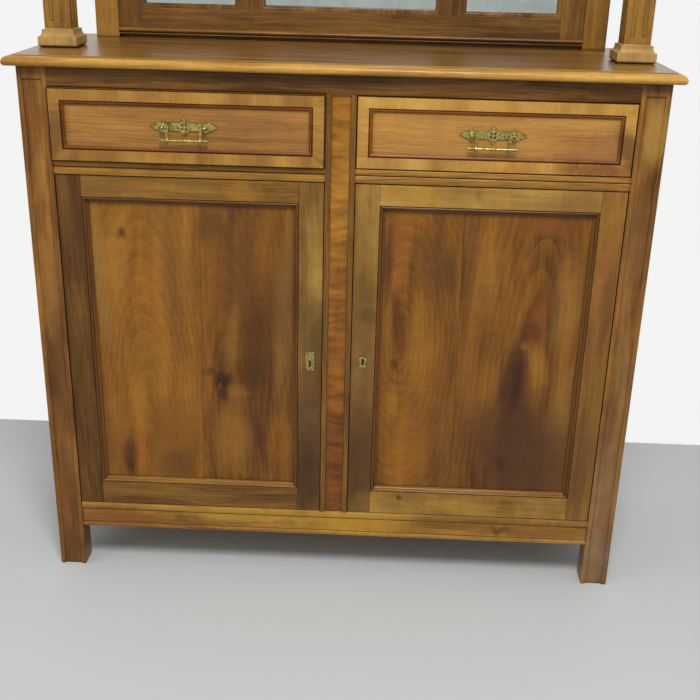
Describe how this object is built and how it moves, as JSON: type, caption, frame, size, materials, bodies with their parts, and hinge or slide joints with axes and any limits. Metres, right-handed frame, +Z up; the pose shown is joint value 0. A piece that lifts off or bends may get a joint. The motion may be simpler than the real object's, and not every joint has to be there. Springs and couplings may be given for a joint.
{
  "type": "cupboard with mirror-backed stage",
  "caption": "Walnut two-door cupboard with a row of drawers over framed panel doors, a moulded top and a low stage of fluted posts, bevelled mirrors and a shelf.",
  "frame": {"origin": "on the floor, at the middle of the outline seen from above", "axes": "+X to the right of a person who faces the doors, +Y from the doors to the back panel, +Z up"},
  "size_m": [1.137, 0.3984, 1.3982],
  "materials": {
    "walnut": "red-brown walnut, wax polished, darkened in the mouldings",
    "striped_walnut": "orange-brown walnut with cross stripes of figure, wax polished",
    "golden_walnut": "golden figured walnut, wax polished",
    "inner_wood": "plain unfinished secondary wood",
    "brass": "aged olive brass, worn brighter on the edges",
    "steel": "dull steel",
    "mirror": "silvered glass with a wide ground bevel"
  },
  "bodies": {
    "carcass": {"post_front_left": "walnut", "post_front_right": "walnut", "post_back_left": "walnut", "post_back_right": "walnut", "centre_stile": "striped_walnut", "top_rail": "walnut", "mid_rail_left": "golden_walnut", "mid_rail_right": "golden_walnut", "bottom_rail": "golden_walnut", "top_board": "golden_walnut", "side_panel_left": "walnut", "side_panel_right": "walnut", "back_panel": "inner_wood", "bottom_board": "inner_wood", "inner_shelf": "inner_wood", "drawer_runner_left": "inner_wood", "drawer_runner_centre": "inner_wood", "drawer_runner_right": "inner_wood", "stage_post_left": "walnut", "stage_post_right": "walnut", "stage_upright_left": "walnut", "stage_upright_right": "walnut", "mirror_frame": "walnut", "mirror_left": "mirror", "mirror_centre": "mirror", "mirror_right": "mirror", "mirror_backboard": "inner_wood", "stage_shelf": "golden_walnut"},
    "drawer_left": {"drawer_left_front": "golden_walnut", "drawer_left_side_left": "inner_wood", "drawer_left_side_right": "inner_wood", "drawer_left_back": "inner_wood", "drawer_left_bottom": "inner_wood", "drawer_left_pull_plate": "brass"},
    "drawer_right": {"drawer_right_front": "golden_walnut", "drawer_right_side_left": "inner_wood", "drawer_right_side_right": "inner_wood", "drawer_right_back": "inner_wood", "drawer_right_bottom": "inner_wood", "drawer_right_pull_plate": "brass"},
    "bail_left": {"drawer_left_bail": "brass"},
    "bail_right": {"drawer_right_bail": "brass"},
    "door_left": {"door_left_hinge_stile": "walnut", "door_left_lock_stile": "walnut", "door_left_top_rail": "walnut", "door_left_bottom_rail": "walnut", "door_left_panel": "golden_walnut", "door_left_escutcheon": "brass", "door_left_pivot_lower": "steel", "door_left_pivot_upper": "steel"},
    "door_right": {"door_right_hinge_stile": "walnut", "door_right_lock_stile": "walnut", "door_right_top_rail": "walnut", "door_right_bottom_rail": "walnut", "door_right_panel": "golden_walnut", "door_right_escutcheon": "brass", "door_right_pivot_lower": "steel", "door_right_pivot_upper": "steel"},
    "bolt_left": {"door_left_lock_bolt": "steel"},
    "bolt_right": {"door_right_lock_bolt": "steel"}
  },
  "joints": [
    {"name": "drawer_left_slide", "type": "slide", "parent": "carcass", "child": "drawer_left", "axis": [0, -1, 0], "range_m": [-0.009, 0.24]},
    {"name": "drawer_right_slide", "type": "slide", "parent": "carcass", "child": "drawer_right", "axis": [0, -1, 0], "range_m": [0, 0.25]},
    {"name": "bail_left_hinge", "type": "hinge", "parent": "drawer_left", "child": "bail_left", "pos_m": [-0.267, -0.19475, 0.8887], "axis": [-1, 0, 0], "range_deg": [0, 85]},
    {"name": "bail_right_hinge", "type": "hinge", "parent": "drawer_right", "child": "bail_right", "pos_m": [0.259, -0.18575, 0.8887], "axis": [-1, 0, 0], "range_deg": [0, 85]},
    {"name": "door_left_hinge", "type": "hinge", "parent": "carcass", "child": "door_left", "pos_m": [-0.4865, -0.17375, 0.143], "axis": [0, 0, -1], "range_deg": [0, 110]},
    {"name": "door_right_hinge", "type": "hinge", "parent": "carcass", "child": "door_right", "pos_m": [0.4865, -0.17375, 0.143], "axis": [0, 0, 1], "range_deg": [0, 110]},
    {"name": "bolt_left_slide", "type": "slide", "parent": "door_left", "child": "bolt_left", "axis": [1, 0, 0], "range_m": [0, 0.008]},
    {"name": "bolt_right_slide", "type": "slide", "parent": "door_right", "child": "bolt_right", "axis": [-1, 0, 0], "range_m": [0, 0.008]}
  ]
}
